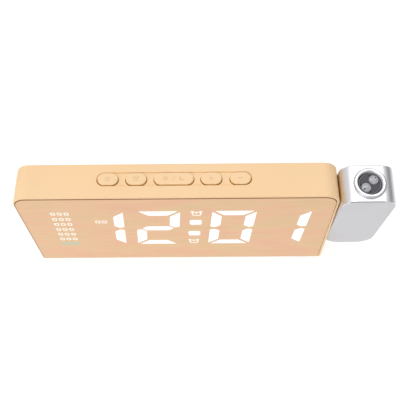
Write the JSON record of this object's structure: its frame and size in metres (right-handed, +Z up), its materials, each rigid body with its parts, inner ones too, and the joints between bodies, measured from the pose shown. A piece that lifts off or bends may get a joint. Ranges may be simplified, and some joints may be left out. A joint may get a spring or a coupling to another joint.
{
  "type": "projection alarm clock",
  "caption": "Slim free-standing bedside clock with a lit wood-look front, pressing keys along the top and a swivelling silver ceiling projector with a focus ring on its right-hand side.",
  "frame": {"origin": "on the surface the clock stands on, under the middle of the whole object's box, projector head included", "axes": "+X to the viewer's right along the case towards the projector head, +Y from the display to the back, +Z up"},
  "size_m": [0.2157, 0.0308, 0.091],
  "materials": {
    "case_plastic": "satin warm tan moulded plastic",
    "key_plastic": "satin warm tan moulded plastic",
    "wood_film": "printed pale wood grain film, matt",
    "smoked_panel": "dark brown translucent acrylic, cut edge",
    "lit_white": "light-diffusing window, lit white",
    "lit_warm": "light-diffusing window, lit warm white",
    "lit_green": "light-diffusing window, lit pale green",
    "white_plastic": "white moulded plastic",
    "circuit_board": "green solder mask on glass fibre",
    "black_plastic": "black moulded plastic",
    "led_chip": "phosphor of a chip LED",
    "screw_steel": "zinc plated",
    "contact_metal": "nickel plated spring steel",
    "flat_cable": "grey ribbon cable",
    "red_insulation": "red wire insulation",
    "black_insulation": "black wire insulation",
    "foot_rubber": "matt dark rubber",
    "silver_sleeve": "bright silver plated plastic",
    "pale_cover": "flat pale grey, fine matt",
    "lens_black": "dark grey moulded plastic",
    "lens_clear": "moulded optical plastic",
    "slide_glass": "dark liquid crystal cell"
  },
  "bodies": {
    "clock": {"case_shell": "case_plastic", "front_panel": "smoked_panel", "wood_grain_film": "wood_film", "digit_windows": "lit_white", "colon_windows": "lit_white", "weekday_windows": "lit_warm", "active_day_window": "lit_green", "status_windows": "lit_warm", "reflector_frame": "white_plastic", "display_board": "circuit_board", "segment_leds": "led_chip", "driver_chips": "black_plastic", "display_board_screws": "screw_steel", "keypad_board": "circuit_board", "tact_switches": "black_plastic", "keypad_board_screws": "screw_steel", "keypad_ribbon": "flat_cable", "buzzer": "black_plastic", "battery_tray": "black_plastic", "battery_contacts": "contact_metal", "coin_cell": "contact_metal", "back_cover": "case_plastic", "back_cover_screws": "screw_steel", "power_board": "circuit_board", "power_board_screws": "screw_steel", "power_socket_shell": "screw_steel", "power_socket_tongue": "black_plastic", "power_leads": "red_insulation", "rubber_feet": "foot_rubber", "swivel_bush": "black_plastic", "cable_connector": "white_plastic", "projector_cable": "black_insulation"},
    "mode_button": {"mode_key": "key_plastic", "mode_plunger": "white_plastic"},
    "alarm_button": {"alarm_key": "key_plastic", "alarm_plunger": "white_plastic"},
    "snooze_button": {"snooze_key": "key_plastic", "snooze_plunger": "white_plastic"},
    "plus_button": {"plus_key": "key_plastic", "plus_plunger": "white_plastic"},
    "minus_button": {"minus_key": "key_plastic", "minus_plunger": "white_plastic"},
    "battery_cover": {"battery_door": "case_plastic"},
    "projector_head": {"head_sleeve": "silver_sleeve", "head_front_cover": "pale_cover", "head_rear_cover": "pale_cover", "head_screws": "screw_steel", "swivel_axle": "contact_metal", "friction_washer": "screw_steel", "retaining_ring": "screw_steel", "projector_leads": "black_insulation", "projector_board": "circuit_board", "projector_leds": "led_chip", "lamp_house": "black_plastic", "condenser_lens": "lens_clear", "image_slide": "slide_glass"},
    "focus_collar": {"focus_ring": "silver_sleeve"},
    "lens_unit": {"lens_barrel": "lens_black", "projection_lenses": "lens_clear"}
  },
  "joints": [
    {"name": "projector_swivel", "type": "hinge", "parent": "clock", "child": "projector_head", "pos_m": [0.07745, 0, 0.0518], "axis": [1, 0, 0], "range_deg": [-97, 83]},
    {"name": "mode_press", "type": "slide", "parent": "clock", "child": "mode_button", "axis": [0, 0, -1], "range_m": [0, 0.0005], "stiffness_N_per_m": 400, "springref_m": -0.0005},
    {"name": "alarm_press", "type": "slide", "parent": "clock", "child": "alarm_button", "axis": [0, 0, -1], "range_m": [0, 0.0005], "stiffness_N_per_m": 400, "springref_m": -0.0005},
    {"name": "snooze_press", "type": "slide", "parent": "clock", "child": "snooze_button", "axis": [0, 0, -1], "range_m": [0, 0.0005], "stiffness_N_per_m": 400, "springref_m": -0.0005},
    {"name": "plus_press", "type": "slide", "parent": "clock", "child": "plus_button", "axis": [0, 0, -1], "range_m": [0, 0.0005], "stiffness_N_per_m": 400, "springref_m": -0.0005},
    {"name": "minus_press", "type": "slide", "parent": "clock", "child": "minus_button", "axis": [0, 0, -1], "range_m": [0, 0.0005], "stiffness_N_per_m": 400, "springref_m": -0.0005},
    {"name": "battery_door_release", "type": "slide", "parent": "clock", "child": "battery_cover", "axis": [0, 1, 0], "range_m": [0, 0.012]},
    {"name": "focus_turn", "type": "hinge", "parent": "projector_head", "child": "focus_collar", "pos_m": [0.09265, 0, 0.0518], "axis": [0, -0.1219, 0.9925], "range_deg": [-60, 60]},
    {"name": "focus_travel", "type": "slide", "parent": "projector_head", "child": "lens_unit", "axis": [0, -0.1219, 0.9925], "range_m": [-0.00078, 0.00078]}
  ],
  "couplings": [
    {"joint": "focus_turn", "follows": "focus_travel", "rad_per_m": 1333.3}
  ]
}
